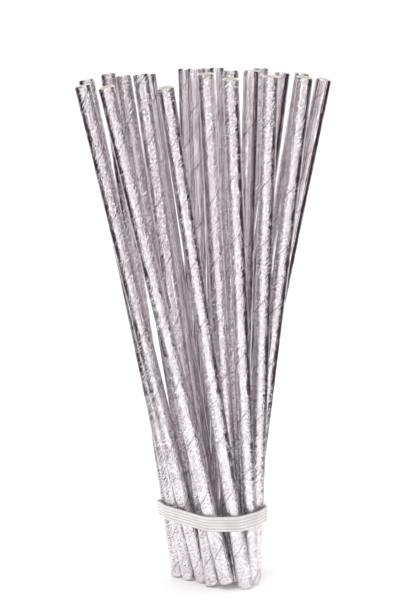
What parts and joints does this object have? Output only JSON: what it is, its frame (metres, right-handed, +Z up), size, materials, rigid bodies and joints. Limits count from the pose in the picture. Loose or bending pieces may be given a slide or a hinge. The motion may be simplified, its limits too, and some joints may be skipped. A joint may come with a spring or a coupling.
{
  "type": "bunch of paper drinking straws",
  "caption": "Fanned bunch of silver foil paper drinking straws held low down by an elastic band; each straw slides out along its own length.",
  "frame": {"origin": "on the table, under the middle of the bunch's bounding box", "axes": "+Z up along the bunch, the front of the fan faces -Y, its left side as seen from the front is at -X"},
  "size_m": [0.0957, 0.0821, 0.1978],
  "materials": {
    "foil": "bright silver foil laminated on a spiral-wound paper strip, finely creased",
    "paper": "uncoated cream paper, spiral-wound",
    "elastic": "matt off-white elastic"
  },
  "bodies": {
    "band": {"elastic_band": "elastic"},
    "straw_01": {"straw_01_foil_wrap": "foil", "straw_01_paper_core": "paper"},
    "straw_02": {"straw_02_foil_wrap": "foil", "straw_02_paper_core": "paper"},
    "straw_03": {"straw_03_foil_wrap": "foil", "straw_03_paper_core": "paper"},
    "straw_04": {"straw_04_foil_wrap": "foil", "straw_04_paper_core": "paper"},
    "straw_05": {"straw_05_foil_wrap": "foil", "straw_05_paper_core": "paper"},
    "straw_06": {"straw_06_foil_wrap": "foil", "straw_06_paper_core": "paper"},
    "straw_07": {"straw_07_foil_wrap": "foil", "straw_07_paper_core": "paper"},
    "straw_08": {"straw_08_foil_wrap": "foil", "straw_08_paper_core": "paper"},
    "straw_09": {"straw_09_foil_wrap": "foil", "straw_09_paper_core": "paper"},
    "straw_10": {"straw_10_foil_wrap": "foil", "straw_10_paper_core": "paper"},
    "straw_11": {"straw_11_foil_wrap": "foil", "straw_11_paper_core": "paper"},
    "straw_12": {"straw_12_foil_wrap": "foil", "straw_12_paper_core": "paper"},
    "straw_13": {"straw_13_foil_wrap": "foil", "straw_13_paper_core": "paper"},
    "straw_14": {"straw_14_foil_wrap": "foil", "straw_14_paper_core": "paper"},
    "straw_15": {"straw_15_foil_wrap": "foil", "straw_15_paper_core": "paper"},
    "straw_16": {"straw_16_foil_wrap": "foil", "straw_16_paper_core": "paper"},
    "straw_17": {"straw_17_foil_wrap": "foil", "straw_17_paper_core": "paper"},
    "straw_18": {"straw_18_foil_wrap": "foil", "straw_18_paper_core": "paper"},
    "straw_19": {"straw_19_foil_wrap": "foil", "straw_19_paper_core": "paper"},
    "straw_20": {"straw_20_foil_wrap": "foil", "straw_20_paper_core": "paper"},
    "straw_21": {"straw_21_foil_wrap": "foil", "straw_21_paper_core": "paper"},
    "straw_22": {"straw_22_foil_wrap": "foil", "straw_22_paper_core": "paper"}
  },
  "joints": [
    {"name": "straw_01_slide", "type": "slide", "parent": "band", "child": "straw_01", "axis": [-0.228, -0.055, 0.9721], "range_m": [0, 0.031]},
    {"name": "straw_02_slide", "type": "slide", "parent": "band", "child": "straw_02", "axis": [-0.1979, 0.0047, 0.9802], "range_m": [0, 0.031]},
    {"name": "straw_03_slide", "type": "slide", "parent": "band", "child": "straw_03", "axis": [-0.2226, -0.1382, 0.9651], "range_m": [-0.00207, 0.029]},
    {"name": "straw_04_slide", "type": "slide", "parent": "band", "child": "straw_04", "axis": [-0.1377, 0.0646, 0.9884], "range_m": [0, 0.031]},
    {"name": "straw_05_slide", "type": "slide", "parent": "band", "child": "straw_05", "axis": [-0.1574, 0.0175, 0.9874], "range_m": [0, 0.031]},
    {"name": "straw_06_slide", "type": "slide", "parent": "band", "child": "straw_06", "axis": [-0.1385, 0.0233, 0.9901], "range_m": [-0.00051, 0.0305]},
    {"name": "straw_07_slide", "type": "slide", "parent": "band", "child": "straw_07", "axis": [-0.1435, 0.0477, 0.9885], "range_m": [0, 0.031]},
    {"name": "straw_08_slide", "type": "slide", "parent": "band", "child": "straw_08", "axis": [-0.1495, -0.1582, 0.976], "range_m": [0, 0.031]},
    {"name": "straw_09_slide", "type": "slide", "parent": "band", "child": "straw_09", "axis": [-0.0328, 0.0443, 0.9985], "range_m": [0, 0.031]},
    {"name": "straw_10_slide", "type": "slide", "parent": "band", "child": "straw_10", "axis": [-0.0244, 0.0479, 0.9986], "range_m": [0, 0.031]},
    {"name": "straw_11_slide", "type": "slide", "parent": "band", "child": "straw_11", "axis": [-0.0571, -0.1155, 0.9917], "range_m": [-0.00151, 0.0295]},
    {"name": "straw_12_slide", "type": "slide", "parent": "band", "child": "straw_12", "axis": [0, 0, 1], "range_m": [0, 0.031]},
    {"name": "straw_13_slide", "type": "slide", "parent": "band", "child": "straw_13", "axis": [-0.007, 0.0871, 0.9962], "range_m": [-0.001, 0.03]},
    {"name": "straw_14_slide", "type": "slide", "parent": "band", "child": "straw_14", "axis": [-0.0151, 0.0179, 0.9997], "range_m": [0, 0.031]},
    {"name": "straw_15_slide", "type": "slide", "parent": "band", "child": "straw_15", "axis": [-0.0449, -0.1343, 0.9899], "range_m": [0, 0.031]},
    {"name": "straw_16_slide", "type": "slide", "parent": "band", "child": "straw_16", "axis": [0.0228, -0.0489, 0.9985], "range_m": [0, 0.031]},
    {"name": "straw_17_slide", "type": "slide", "parent": "band", "child": "straw_17", "axis": [0.0367, 0.0314, 0.9988], "range_m": [0, 0.031]},
    {"name": "straw_18_slide", "type": "slide", "parent": "band", "child": "straw_18", "axis": [0.0253, -0.1317, 0.991], "range_m": [-0.0005, 0.0305]},
    {"name": "straw_19_slide", "type": "slide", "parent": "band", "child": "straw_19", "axis": [0.1222, -0.0319, 0.992], "range_m": [0, 0.031]},
    {"name": "straw_20_slide", "type": "slide", "parent": "band", "child": "straw_20", "axis": [0.1531, -0.0351, 0.9876], "range_m": [0, 0.031]},
    {"name": "straw_21_slide", "type": "slide", "parent": "band", "child": "straw_21", "axis": [0.1078, -0.1505, 0.9827], "range_m": [-0.00153, 0.0295]},
    {"name": "straw_22_slide", "type": "slide", "parent": "band", "child": "straw_22", "axis": [0.1879, -0.0882, 0.9782], "range_m": [-0.00102, 0.03]}
  ]
}
